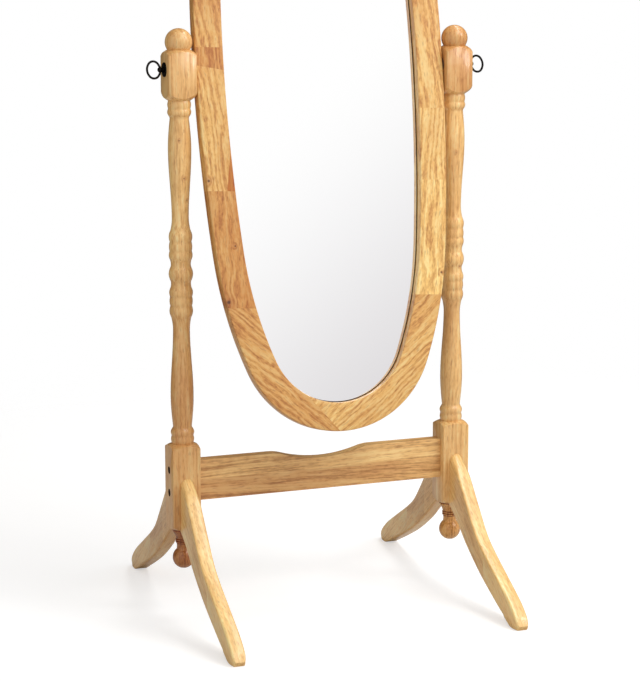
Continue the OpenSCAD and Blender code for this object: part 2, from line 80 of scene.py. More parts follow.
Socket = bpy.types.NodeSocket
Triple = tuple[float, float, float]

LOG = logging.getLogger("cheval_mirror")
MM = 0.001
BOARD = "board"  # corner vector: place in the piece's own board, grain along its z
TONE = "tone"  # corner value: how dark this length is drawn, from 0 to 1; the timber's own tone, with painted shade added on some pieces
SIDES = ("left", "right")
USUAL = (0.3, 0.7)  # the range that most of a noise's values lie in
ACROSS = Vector((1.0, 0.0, 0.0))
BACK = Vector((0.0, 1.0, 0.0))
UP = Vector((0.0, 0.0, 1.0))


# ---- nodes


def linear(colour: str) -> Colour:
    """Turns an sRGB hex colour to linear RGBA.

    Args:
        colour: six hex digits after a hash.

    Returns:
        The linear colour with an alpha of 1.
    """
    parts = [int(colour[i : i + 2], 16) / 255 for i in (1, 3, 5)]
    red, green, blue = (
        p / 12.92 if p <= 0.04045 else ((p + 0.055) / 1.055) ** 2.4 for p in parts
    )
    return (red, green, blue, 1.0)


class Graph:
    """The node tree of a material or a surround, with a short method for each kind of node.

    Attributes:
        tree: the node tree, which starts empty.
    """

    def __init__(self, owner: bpy.types.Material | bpy.types.World) -> None:
        """Empties the owner's tree and keeps it."""
        owner.use_nodes = True
        self.tree = owner.node_tree
        self.tree.nodes.clear()

    def add(
        self,
        kind: str,
        settings: Mapping[str, Any] | None = None,
        links: Mapping[Any, Any] | None = None,
    ) -> bpy.types.Node:
        """Adds a node with its settings and links.

        Args:
            kind: the node's type name.
            settings: the node's own properties by name.
            links: its inputs by name or number; a socket is linked, anything else set as the value.

        Returns:
            The new node.
        """
        node = self.tree.nodes.new(kind)
        for name, value in (settings or {}).items():
            setattr(node, name, value)
        for name, value in (links or {}).items():
            if isinstance(value, Socket):
                self.tree.links.new(value, node.inputs[name])
            else:
                node.inputs[name].default_value = value
        return node

    def place(self) -> Socket:
        """The point in the object's own space."""
        return self.add("ShaderNodeTexCoord").outputs["Object"]

    def numbers(self, kind: str, *values: Any) -> Socket:
        """One sum on numbers."""
        links = dict(enumerate(values))
        return self.add("ShaderNodeMath", {"operation": kind}, links).outputs[0]

    def vectors(self, kind: str, *values: Any) -> bpy.types.Node:
        """One sum on vectors."""
        return self.add("ShaderNodeVectorMath", {"operation": kind}, dict(enumerate(values)))

    def noise(
        self, place: Any, scale: float, detail: float, rough: float = 0.5, out: str = "Fac"
    ) -> Socket:
        """Noise, as a value or a colour."""
        links = {"Vector": place, "Scale": scale, "Detail": detail, "Roughness": rough}
        return self.add("ShaderNodeTexNoise", None, links).outputs[out]

    def span(
        self,
        value: Any,
        low: float,
        high: float,
        first: float = 0.0,
        last: float = 1.0,
        ease: str = "LINEAR",
    ) -> Socket:
        """Stretches a value from one range to another and holds it at the ends.

        Args:
            value: the value.
            low: where its range starts.
            high: where that ends.
            first: what it becomes at the start.
            last: what it becomes at the end.
            ease: how it changes in between.

        Returns:
            The new value.
        """
        names = ("Value", "From Min", "From Max", "To Min", "To Max")
        links = dict(zip(names, (value, low, high, first, last)))
        settings = {"clamp": True, "interpolation_type": ease}
        return self.add("ShaderNodeMapRange", settings, links).outputs["Result"]

    def mixed(
        self, amount: Any, under: Any, over: Any, blend: str = "MIX"
    ) -> Socket:
        """One colour laid over another."""
        links = {"Fac": amount, "Color1": under, "Color2": over}
        return self.add("ShaderNodeMixRGB", {"blend_type": blend}, links).outputs["Color"]

    def ramp(self, value: Any, stops: Sequence[tuple[float, str]]) -> Socket:
        """Colours a value.

        Args:
            value: the value, from 0 to 1.
            stops: values with sRGB hex colours, in order.

        Returns:
            The colour.
        """
        node = self.add("ShaderNodeValToRGB", None, {"Fac": value})
        elements = node.color_ramp.elements
        while len(elements) < len(stops):
            elements.new(1.0)
        for element, (at, colour) in zip(elements, stops):
            element.position = at
            element.color = linear(colour)
        return node.outputs["Color"]

    def bump(self, height: Any, strength: float, distance: float) -> Socket:
        """A normal that follows a fine relief."""
        links = {"Strength": strength, "Distance": distance, "Height": height}
        return self.add("ShaderNodeBump", None, links).outputs["Normal"]

    def principled(self, links: Mapping[str, Any]) -> Socket:
        """A principled shader."""
        return self.add("ShaderNodeBsdfPrincipled", None, links).outputs["BSDF"]

    def finish(self, shader: Socket, world: bool = False) -> None:
        """Ends the tree with a shader."""
        kind = "ShaderNodeOutputWorld" if world else "ShaderNodeOutputMaterial"
        self.add(kind, None, {"Surface": shader})


# ---- finishes


@dataclass(frozen=True)
class Knot:
    """A small knot in a piece of timber."""

    place: Triple  # where it lies in the model
    radius_mm: float  # the radius of its dark heart


@dataclass(frozen=True)
class Grain:
    """Noise drawn out along the grain."""

    stretch: float  # its size across the grain as a share of that along it
    size_mm: float  # the size of one lump across the grain
    detail: float = 2.0  # how many finer noises it carries

    def draw(self, graph: Graph, board: Any) -> Socket:
        """Draws it, given the place in the board."""
        place = graph.vectors("MULTIPLY", board, (1.0, 1.0, self.stretch)).outputs["Vector"]
        return graph.noise(place, 1.0 / (self.size_mm * MM), self.detail, 0.6)


@dataclass(frozen=True)
class LacqueredTimber:
    """Rubberwood, planed or turned, under clear gloss lacquer.

    The growth rings give the eye broad faint arches, the fibres fine streaks along the grain, the
    mottle a lively fleck, and the open vessels the short dark dashes that mark this timber. The
    lacquer gives the sharp highlights.
    """

    name: str  # the material's name
    pale: str  # the lightest wood
    mid: str  # the plain wood
    dark: str  # the darkest streaks
    deep: str = "#B9803F"  # what a darker length is multiplied with
    ring_mm: float = 9.0  # how far apart the growth rings lie
    ring_weight: float = 0.09  # how much the rings show
    wander: Grain = Grain(0.16, 42.0)  # where they wander
    warp_mm: float = 22.0  # how far they wander
    knot_bend: float = 0.9  # how far a knot bends them, as a share of their spacing
    swirl: Triple = (0.6, 38.0, 1.0)  # where the fibres curl: stretch, scale, detail
    curl_mm: float = 3.0  # how far they curl
    fibre: Grain = Grain(0.04, 2.4, 3.0)  # fine streaks; wider than real fibres, so that they show
    fibre_weight: float = 0.9  # how much they show
    mottle: Grain = Grain(0.4, 4.0)  # the flecks of the mottle
    mottle_weight: float = 0.5  # how much they show
    streak: Grain = Grain(0.06, 13.0)  # the broad streaks
    streak_weight: float = 0.6  # how much they show
    stops: Triple = (0.15, 0.5, 0.9)  # figure at which each wood is pure
    cloud: Grain = Grain(0.4, 55.0)  # broad darker clouds
    cloud_span: Pair = (0.35, 0.7)  # the noise between which they deepen
    cloud_depth: float = 0.3  # how dark they are
    vessel: Grain = Grain(0.14, 1.7, 0.0)  # the open vessels; drawn wider than real ones
    vessel_span: Pair = (0.63, 0.76)  # the noise between which they open
    vessel_depth: float = 0.3  # how dark they are
    roughness: float = 0.38  # of the wood under its lacquer
    relief: Pair = (0.12, 0.0004)  # how strong its fine relief is, and how deep
    coat: float = 0.35  # how much lacquer there is
    coat_roughness: float = 0.09  # how sharp its highlights are
    coat_index: float = 1.5  # its index of refraction, and the wood's
    knots: tuple[Knot, ...] = ()  # its small knots, which the grain flows round
    heart: Pair = (0.5, 1.2)  # where a knot's heart starts to fade and ends, in its radii
    halo: Pair = (1.0, 5.0)  # the same for the warm wood round it
    heart_weight: float = 0.85  # how much the heart shows
    halo_weight: float = 0.45  # how much the warm wood shows
    heart_colour: str = "#5A3418"
    halo_colour: str = "#C07A34"
    vessel_colour: str = "#A8622A"

    def curled(self, graph: Graph) -> Socket:
        """The place in the board, with the fibres curled about."""
        board = graph.add("ShaderNodeAttribute", {"attribute_name": BOARD}).outputs["Vector"]
        stretch, scale, detail = self.swirl
        place = graph.vectors("MULTIPLY", board, (1.0, 1.0, stretch)).outputs["Vector"]
        swirl = graph.noise(place, scale, detail, out="Color")
        curl = (self.curl_mm * MM, self.curl_mm * MM, 0.0)
        return graph.vectors("MULTIPLY_ADD", swirl, curl, board).outputs["Vector"]

    def knotted(self, graph: Graph) -> tuple[Any, Any]:
        """Finds how near each point is to a knot.

        Args:
            graph: the material's nodes.

        Returns:
            How far it belongs to a knot's heart and to its halo, from 0 to 1.
        """
        heart: Any = 0.0
        halo: Any = 0.0
        place = graph.place() if self.knots else None
        for knot in self.knots:
            gap = graph.vectors("DISTANCE", place, knot.place).outputs["Value"]
            near = [
                graph.span(gap, *(share * knot.radius_mm * MM for share in shares), 1.0, 0.0)
                for shares in (self.heart, self.halo)
            ]
            heart = graph.numbers("MAXIMUM", near[0], heart)
            halo = graph.numbers("MAXIMUM", near[1], halo)
        return heart, halo

    def rings(self, graph: Graph, board: Any, halo: Any) -> Socket:
        """Draws the growth rings, which bend round the knots.

        Args:
            graph: the material's nodes.
            board: the place in the board.
            halo: how near a knot is.

        Returns:
            A wave from -1 to 1.
        """
        sums = graph.numbers
        flat = graph.vectors("MULTIPLY", board, (1.0, 1.0, 0.0)).outputs["Vector"]
        radius = graph.vectors("LENGTH", flat).outputs["Value"]
        bent = sums("MULTIPLY_ADD", self.wander.draw(graph, board), self.warp_mm * MM, radius)
        bent = sums("MULTIPLY_ADD", halo, self.ring_mm * MM * self.knot_bend, bent)
        return sums("SINE", sums("MULTIPLY", bent, math.tau / (self.ring_mm * MM)))

    def paint(self, graph: Graph) -> None:
        """Draws the timber.

        Args:
            graph: the material's nodes.
        """
        sums = graph.numbers

        def multiplied(amount: Any, under: Any, colour: str) -> Socket:
            """A colour laid over another by multiplying."""
            return graph.mixed(amount, under, linear(colour), "MULTIPLY")

        tone = graph.add("ShaderNodeAttribute", {"attribute_name": TONE}).outputs["Fac"]
        board = self.curled(graph)
        heart, halo = self.knotted(graph)
        fibre = self.fibre.draw(graph, board)
        figure = sums("MULTIPLY_ADD", self.rings(graph, board, halo), self.ring_weight, 0.5)
        for value, weight in (
            (fibre, self.fibre_weight),
            (self.mottle.draw(graph, board), self.mottle_weight),
            (self.streak.draw(graph, board), self.streak_weight),
        ):
            figure = sums("MULTIPLY_ADD", sums("SUBTRACT", value, 0.5), weight, figure)
        wood = graph.ramp(figure, list(zip(self.stops, (self.pale, self.mid, self.dark))))
        clouds = self.cloud.draw(graph, board)
        shade = sums("ADD", tone, graph.span(clouds, *self.cloud_span, 0.0, self.cloud_depth))
        toned = multiplied(sums("MINIMUM", shade, 1.0), wood, self.deep)
        glow = multiplied(sums("MULTIPLY", halo, self.halo_weight), toned, self.halo_colour)
        marked = multiplied(sums("MULTIPLY", heart, self.heart_weight), glow, self.heart_colour)
        pores = self.vessel.draw(graph, board)
        vessel = graph.span(pores, *self.vessel_span, 0.0, self.vessel_depth)
        relief = sums("SUBTRACT", sums("MULTIPLY", fibre, 0.5), vessel)
        look = {
            "Base Color": multiplied(vessel, marked, self.vessel_colour),
            "Roughness": graph.span(fibre, *USUAL, self.roughness - 0.05, self.roughness + 0.08),
            "IOR": self.coat_index,
            "Coat Weight": self.coat,
            "Coat Roughness": self.coat_roughness,
            "Coat IOR": self.coat_index,
            "Normal": graph.bump(relief, *self.relief),
        }
        graph.finish(graph.principled(look))


@dataclass(frozen=True)
class Metal:
    """A metal with a worn surface.

    Plated steel is even and bright with fine brush marks; blackened bronze is dark with brown
    rubbed places where fingers reach it.
    """

    name: str
    base: str
    worn: str
    worn_share: float
    roughness: float
    grain_mm: float
    bump: float = 0.05

    def paint(self, graph: Graph) -> None:
        """Draws the metal.

        Args:
            graph: the material's nodes.
        """
        patch = graph.noise(graph.place(), 1.0 / (self.grain_mm * MM), 3.0)
        less = 0.4 * self.worn_share
        wear = graph.span(patch, 0.72 - less, 0.95 - less)
        look = {
            "Base Color": graph.mixed(wear, linear(self.base), linear(self.worn)),
            "Metallic": 1.0,
            "Roughness": graph.span(patch, *USUAL, self.roughness + 0.1, self.roughness - 0.08),
            "Normal": graph.bump(patch, self.bump, 0.0003),
        }
        graph.finish(graph.principled(look))


@dataclass(frozen=True)
class SilveredGlass:
    """Float glass silvered on its back: a clean bright reflection."""

    name: str = "Silvered float glass, polished"
    tint: str = "#FFFFFF"

    def paint(self, graph: Graph) -> None:
        """Draws the glass.

        Args:
            graph: the material's nodes.
        """
        haze = graph.noise(graph.place(), 9.0, 2.0)
        look = {
            "Base Color": linear(self.tint),
            "Metallic": 1.0,
            "Roughness": graph.span(haze, *USUAL, 0.004, 0.012),
            "Coat Weight": 1.0,
            "Coat Roughness": 0.0,
            "Coat IOR": 1.52,
        }
        graph.finish(graph.principled(look))


@dataclass(frozen=True)
class Pressed:
    """Hardboard, moulded nylon and the like: matt, with a random mottle in place of a grain."""

    name: str
    light: str
    dark: str
    mottle_mm: float
    roughness: float
    bump: float

    def paint(self, graph: Graph) -> None:
        """Draws the surface.

        Args:
            graph: the material's nodes.
        """
        place = graph.place()
        fine = graph.noise(place, 1.0 / (self.mottle_mm * MM), 5.0, 0.7)
        both = graph.numbers("MULTIPLY_ADD", graph.noise(place, 7.0, 3.0), 0.5, fine)
        look = {
            "Base Color": graph.ramp(both, [(0.5, self.dark), (0.95, self.light)]),
            "Roughness": graph.span(fine, *USUAL, self.roughness - 0.06, self.roughness + 0.06),
            "Normal": graph.bump(fine, self.bump, 0.0004),
        }
        graph.finish(graph.principled(look))


class Finish(Enum):
    """Every finish on the mirror and its stand."""

    POST = LacqueredTimber(
        "Rubberwood, turned and lacquered",
        "#FFE4A2", "#FCCC83", "#DAA057",
        ring_mm=7.0, fibre_weight=1.2,
        knots=(
            Knot((-0.228, -0.015, 0.690), 1.5),
            Knot((-0.235, -0.016, 0.748), 1.2),
            Knot((-0.222, -0.012, 0.656), 1.0),
            Knot((0.227, -0.016, 0.715), 1.3),
            Knot((0.236, -0.014, 0.530), 1.1),
        ),
    )
    LEG = LacqueredTimber(
        "Rubberwood, bandsawn and lacquered",
        "#FFE6A0", "#FFD286", "#DEA85E",
        deep="#B48430", coat=0.5, ring_mm=12.0, fibre_weight=1.2,
    )
    FINIAL = LacqueredTimber(
        "Rubberwood, turned and stained red-brown",
        "#F2BE74", "#DE9F52", "#9C6228",
        deep="#A06018", ring_mm=5.0, mottle_weight=1.2,
    )
    RAIL = LacqueredTimber(
        "Rubberwood, planed and lacquered",
        "#FFD892", "#F4C27A", "#BE8648",
        ring_mm=13.0, ring_weight=0.12, fibre_weight=1.4, streak_weight=1.3,
        warp_mm=30.0,
    )
    FRAME = LacqueredTimber(
        "Rubberwood, glued up, routed and lacquered",
        "#FFE49C", "#F8CA76", "#D0924A",
        deep="#C48A4C", ring_mm=8.0, ring_weight=0.2, curl_mm=9.0,
        fibre_weight=1.1, mottle=Grain(0.4, 3.2), mottle_weight=0.9,
        vessel_depth=0.35, warp_mm=34.0,
        knots=(
            Knot((-0.1960, -0.0402, 0.6874), 2.2),
            Knot((-0.1760, -0.0725, 0.5043), 3.2),
            Knot((0.1800, -0.0678, 0.5308), 1.8),
            Knot((-0.1600, -0.0577, 0.5881), 1.4),
        ),
    )
    # Painted shade: the walls inside the posts' bolt counterbores are drawn dark, as the deep
    # recesses look.
    BORE_SHADE = Pressed(
        "Rubberwood in the counterbores, painted dark as shade", "#4A2E18", "#24150B", 1.4, 0.7, 0.2
    )
    BRONZE = Metal("Bronze, cast and blackened", "#1A1715", "#4A3F33", 0.35, 0.36, 4.0, 0.12)
    STEEL = Metal("Steel, turned and zinc plated", "#A9AAAD", "#C9CACD", 0.4, 0.28, 1.2)
    BLACK_STEEL = Metal("Steel, forged and black oxidised", "#1F1E1D", "#3A3633", 0.3, 0.42, 1.2)
    GILT = Metal("Steel, rolled and yellow passivated", "#B79A55", "#D2BC7C", 0.4, 0.3, 0.8)
    GLASS = SilveredGlass()
    SHADED = Pressed("Glass, clear over the rebate's shade", "#3E2A12", "#241808", 1.2, 0.3, 0.02)
    HARDBOARD = Pressed("Hardboard, pressed", "#9C7A55", "#6E5238", 1.6, 0.62, 0.25)
    NYLON = Pressed("Nylon, moulded", "#5A3E2A", "#3E2A1C", 2.0, 0.5, 0.1)
    BEECH = Pressed("Beech, rolled into dowel", "#D8BA8C", "#BE9A68", 1.2, 0.55, 0.15)


class Workshop:
    """Builds each finish once and hands it out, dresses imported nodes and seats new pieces."""

    def __init__(self, nodes: Mapping[str, Object]) -> None:
        """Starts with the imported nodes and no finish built."""
        self.nodes = nodes
        self._made: dict[Finish, bpy.types.Material] = {}

    def coat(self, finish: Finish) -> bpy.types.Material:
        """Gives the material for a finish, building it the first time.

        Args:
            finish: which finish.

        Returns:
            The material.
        """
        if finish not in self._made:
            self._made[finish] = bpy.data.materials.new(finish.value.name)
            finish.value.paint(Graph(self._made[finish]))
        return self._made[finish]

    def dress_nodes(self, finish: Finish, *names: str) -> None:
        """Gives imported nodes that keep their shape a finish.

        Args:
            finish: the finish.
            names: the nodes.
        """
        for name in names:
            data = self.nodes[name].data
            for index in range(len(data.materials)):
                data.materials[index] = self.coat(finish)
            LOG.info("dressed %s in %s", name, finish.value.name)

    def seat(self, made: Object, node: str, body: str, slot: str) -> None:
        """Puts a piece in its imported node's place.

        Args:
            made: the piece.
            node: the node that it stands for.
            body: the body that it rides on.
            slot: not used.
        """
        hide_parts(node)
        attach(made, body)
        LOG.info("built %s for %s", made.name, node)


# ---- mesh tools


@dataclass(frozen=True)
class Board:
    """Where a length of timber was cut from its tree."""

    origin: Vector  # a point in the piece that lies on the board's own axis
    grain: Vector  # the direction of the grain
    # How far the heart of the tree lies from the origin, sideways and inwards
    pith_mm: Pair
    lean_deg: float  # how far the grain runs out of line, which draws the rings into long arches
    tone: float  # how dark it is, from 0 to 1

    def place(self, point: Vector) -> Vector:
        """Turns a point in the model to a place in the board.

        Args:
            point: a point in the model.

        Returns:
            The place, measured from the heart of the tree, grain along z.
        """
        z_axis = self.grain.normalized()
        beside = ACROSS if abs(z_axis.dot(BACK)) > 0.9 else BACK
        x_axis = beside.cross(z_axis).normalized()
        y_axis = z_axis.cross(x_axis)
        away = point - self.origin
        a, b, c = away.dot(x_axis), away.dot(y_axis), away.dot(z_axis)
        lean = math.tan(math.radians(self.lean_deg))
        side, inward = (mm * MM for mm in self.pith_mm)
        return Vector((a + c * lean + side, b + c * lean * 0.3 + inward, c))


def linked(name: str, data: bpy.types.ID) -> Object:
    """Makes an object and links it to the scene."""
    made = bpy.data.objects.new(name, data)
    bpy.context.scene.collection.objects.link(made)
    return made


def centre_line(node: str) -> Vector:
    """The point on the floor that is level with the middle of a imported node's width."""
    low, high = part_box(node)
    return Vector(((low[0] + high[0]) / 2, 0.0, 0.0))


def to_data(mesh: Mesh, name: str) -> bpy.types.Mesh:
    """Turns an open mesh to finished mesh data.

    Args:
        mesh: the mesh, which is freed.
        name: the data's name.

    Returns:
        The data.
    """
    data = bpy.data.meshes.new(name)
    mesh.to_mesh(data)
    mesh.free()
    return data


def merged_copy(node: Object, flatten_deg: float = 0.4) -> Mesh:
    """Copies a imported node's mesh with its seams joined and its flat faces made whole.

    Args:
        node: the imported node.
        flatten_deg: faces that meet at less than this angle become one.

    Returns:
        The new mesh, still open for editing.
    """
    mesh = bmesh.new()
    mesh.from_mesh(node.data)
    bmesh.ops.remove_doubles(mesh, verts=mesh.verts, dist=2e-6)
    bmesh.ops.dissolve_limit(
        mesh, angle_limit=math.radians(flatten_deg), verts=mesh.verts, edges=mesh.edges
    )
    return mesh


def to_object(
    mesh: Mesh, name: str, material: bpy.types.Material, sharp_deg: float = 38.0
) -> Object:
    """Turns an open mesh into a smooth-shaded object.

    Args:
        mesh: the mesh, which is freed.
        name: the object's name.
        material: its finish.
        sharp_deg: edges that turn more than this stay sharp.

    Returns:
        The object, linked to the scene.
    """
    bmesh.ops.recalc_face_normals(mesh, faces=mesh.faces)
    data = to_data(mesh, name)
    data.materials.clear()
    data.materials.append(material)
    data.polygons.foreach_set("material_index", [0] * len(data.polygons))
    data.shade_smooth()
    data.set_sharp_from_angle(angle=math.radians(sharp_deg))
    return linked(name, data)


def mark_boards(made: Object, board_of: Callable[[int], Board]) -> None:
    """Writes on each corner its place in its board and the board's tone.

    Args:
        made: the object.
        board_of: the board that a face, by number, belongs to.
    """
    data = made.data
    places = [0.0] * (3 * len(data.loops))
    tones = [0.0] * len(data.loops)
    for polygon in data.polygons:
        board = board_of(polygon.index)
        for loop in polygon.loop_indices:
            point = data.vertices[data.loops[loop].vertex_index].co
            places[3 * loop : 3 * loop + 3] = board.place(point)
            tones[loop] = board.tone
    data.attributes.new(BOARD, "FLOAT_VECTOR", "CORNER").data.foreach_set("vector", places)
    data.attributes.new(TONE, "FLOAT", "CORNER").data.foreach_set("value", tones)


def between(stops: Sequence[Pair], at: float) -> float:
    """Reads a value that changes evenly between its stops.

    Args:
        stops: places in rising order, each with its value.
        at: the place to read.

    Returns:
        The value there, or that of the nearer end.
    """
    for (low, first), (high, last) in zip(stops, stops[1:]):
        if at < high:
            return first + (last - first) * max(0.0, (at - low) / (high - low))
    return stops[-1][1]


def cut_plane(
    mesh: Mesh,
    place: Vector,
    normal: Vector,
    faces: Sequence[Face] | None = None,
) -> list[bmesh.types.BMEdge]:
    """Cuts faces in two where a plane crosses them.

    Args:
        mesh: the mesh.
        place: a point on the plane.
        normal: square to the plane.
        faces: the faces to cut; all of them if not given.

    Returns:
        The edges along the cut.
    """
    chosen = list(mesh.faces) if faces is None else faces
    verts = dict.fromkeys(v for f in chosen for v in f.verts)
    edges = dict.fromkeys(e for f in chosen for e in f.edges)
    cut = bmesh.ops.bisect_plane(
        mesh, geom=[*verts, *edges, *chosen], plane_co=place, plane_no=normal
    )
    return [item for item in cut["geom_cut"] if isinstance(item, bmesh.types.BMEdge)]


def add_bevel(made: Object, width: float) -> None:
    """Rounds an object's sharp edges.

    Args:
        made: the object.
        width: the width of the rounding.
    """
    bevel = made.modifiers.new("Rounded edges", "BEVEL")
    bevel.width = width
    bevel.segments = 3
    bevel.limit_method = "ANGLE"
    bevel.angle_limit = math.radians(50.0)
    bevel.harden_normals = True


def loft(rings: Sequence[Sequence[Vector]], closed: bool = False) -> Mesh:
    """Joins rings of points into one closed skin.

    Args:
        rings: rings with the same number of points each.
        closed: whether the last ring joins the first; if not, both ends are capped.

    Returns:
        The mesh, still open for editing.
    """
    mesh = bmesh.new()
    rows = [[mesh.verts.new(p) for p in ring] for ring in rings]
    pairs = list(zip(rows, rows[1:]))
    if closed:
        pairs.append((rows[-1], rows[0]))
    for first, second in pairs:
        for i, corner in enumerate(first):
            after = (i + 1) % len(first)
            mesh.faces.new((corner, first[after], second[after], second[i]))
    if not closed:
        mesh.faces.new(rows[0])
        mesh.faces.new(list(reversed(rows[-1])))
    return mesh


# ---- the stand


@dataclass
class Stand:
    """Two turned posts with their finials, joined by a scooped stretcher."""

    shop: Workshop  # where finishes come from
    body: str = "stand"  # the body that all of it belongs to
    stretcher_edge: float = 0.0014  # the rounding of the stretcher's edges
    stretcher_joint: float = 0.52  # where its two boards meet, as a share of its height
    # Where the stretcher's bolts go through the posts
    bolt_heights: Pair = (0.196, 0.232)
    counterbore_radius: float = 0.0062  # what counts as the inside of a counterbore
    # How far in from the post's outside that starts and ends
    counterbore_depth: Pair = (0.0004, 0.014)
    # Where the drop finials have turned grooves, each drawn dark; the highest, at the gap under the
    # block, is painted shadow
    groove_heights: tuple[float, ...] = (0.1137, 0.1172, 0.1207, 0.1358)
    groove_half: float = 0.0008  # half a groove's width, and its depth
    # The least radius at which a level of the finial belongs to a groove
    groove_from: float = 0.009
    # How dark each post is drawn at some heights; it changes evenly between them. The darker lower
    # lengths are painted shade, for the light that falls off towards the floor.
    post_tones_with_shade: ClassVar[Mapping[str, Sequence[Pair]]] = {
        "left": ((0.28, 0.35), (0.45, 0.3), (0.60, 0.0), (0.80, 0.0), (0.83, 0.2)),
        "right": ((0.28, 0.1), (0.45, 0.15), (0.60, 0.0), (0.80, 0.0), (0.83, 0.45)),
    }
    # Where each post's pith lies and how its grain leans
    post_cuts: ClassVar[Mapping[str, tuple[Pair, float]]] = {
        "left": ((38.0, 16.0), 1.2),
        "right": ((-30.0, 34.0), -1.0),
    }
    # How dark each finial is drawn; the left one's darkness is painted shade, as it stands in
    # shadow
    finial_tones_with_shade: ClassVar[Mapping[str, float]] = {"left": 0.6, "right": 0.0}

    def build(self) -> None:
        """Builds and dresses the whole stand."""
        for side in SIDES:
            self.post(side)
            self.drop_finial(side)
            self.shop.dress_nodes(
                Finish.BLACK_STEEL, f"{side}_stretcher_bolts", f"{side}_bolt_washers"
            )
            self.shop.dress_nodes(Finish.STEEL, f"{side}_barrel_nuts")
        self.stretcher()
        self.shop.dress_nodes(Finish.BEECH, *(f"{side}_leg_dowels" for side in SIDES))

    def post(self, side: str) -> None:
        """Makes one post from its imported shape.

        Args:
            side: left or right.
        """
        node = f"{side}_post"
        low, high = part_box(node)
        mesh = merged_copy(self.shop.nodes[node])
        made = to_object(mesh, f"{side}_turned_post", self.shop.coat(Finish.POST))
        axis, (pith, lean) = centre_line(node), self.post_cuts[side]
        heights = [p.center.z for p in made.data.polygons]
        # Lower down the posts are drawn darker: painted shade.
        tones = self.post_tones_with_shade[side]
        mark_boards(made, lambda i: Board(axis, UP, pith, lean, between(tones, heights[i])))
        # The walls inside the bolt counterbores get the dark finish: painted shade in the recesses.
        made.data.materials.append(self.shop.coat(Finish.BORE_SHADE))
        outer = low[0] if side == "left" else high[0]
        shallow, deep = self.counterbore_depth
        for polygon in made.data.polygons:
            spot = polygon.center
            off = min(math.hypot(spot.y, spot.z - height) for height in self.bolt_heights)
            if shallow < abs(spot.x - outer) < deep and off < self.counterbore_radius:
                polygon.material_index = 1
        self.shop.seat(made, node, self.body, "post_wood")

    def drop_finial(self, side: str) -> None:
        """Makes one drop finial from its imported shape.

        Args:
            side: left or right.
        """
        node = f"{side}_drop_finial"
        foot = centre_line(node)
        foot.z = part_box(node)[0][2]
        mesh = merged_copy(self.shop.nodes[node])
        for height in self.groove_heights:
            for level in (height - self.groove_half, height, height + self.groove_half):
                cut_plane(mesh, UP * level, UP)
            for vert in mesh.verts:
                out = Vector((vert.co.x - foot.x, vert.co.y, 0.0))
                if abs(vert.co.z - height) < 1e-6 and out.length > self.groove_from:
                    vert.co -= out.normalized() * self.groove_half
        made = to_object(mesh, f"{side}_turned_finial", self.shop.coat(Finish.FINIAL))
        # Every groove is drawn at full darkness; the one at the gap under the block is painted
        # shadow.
        plain, darkened_groove = (
            Board(foot, Vector((0.1, 0.0, 1.0)), (22.0, 12.0), 3.0, tone)
            for tone in (self.finial_tones_with_shade[side], 1.0)
        )
        grooved = [
            any(abs(p.center.z - height) < self.groove_half for height in self.groove_heights)
            for p in made.data.polygons
        ]
        mark_boards(made, lambda i: darkened_groove if grooved[i] else plain)
        self.shop.seat(made, node, self.body, "finial_wood")

    def stretcher(self) -> None:
        """Makes the stretcher, glued up from two boards that meet on a level line."""
        node = "stretcher"
        low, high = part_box(node)
        mesh = merged_copy(self.shop.nodes[node])
        middle = low[2] + self.stretcher_joint * (high[2] - low[2])
        cut_plane(mesh, UP * middle, UP)
        made = to_object(mesh, "scooped_stretcher", self.shop.coat(Finish.RAIL))
        centres = [p.center.z for p in made.data.polygons]
        upper = Board(UP * middle, ACROSS, (70.0, 30.0), 1.5, 0.0)
        lower = Board(UP * middle + ACROSS * 0.1, ACROSS, (-55.0, 26.0), -2.0, 0.18)
        mark_boards(made, lambda i: upper if centres[i] > middle else lower)
        add_bevel(made, self.stretcher_edge)
        self.shop.seat(made, node, self.body, "stretcher_wood")


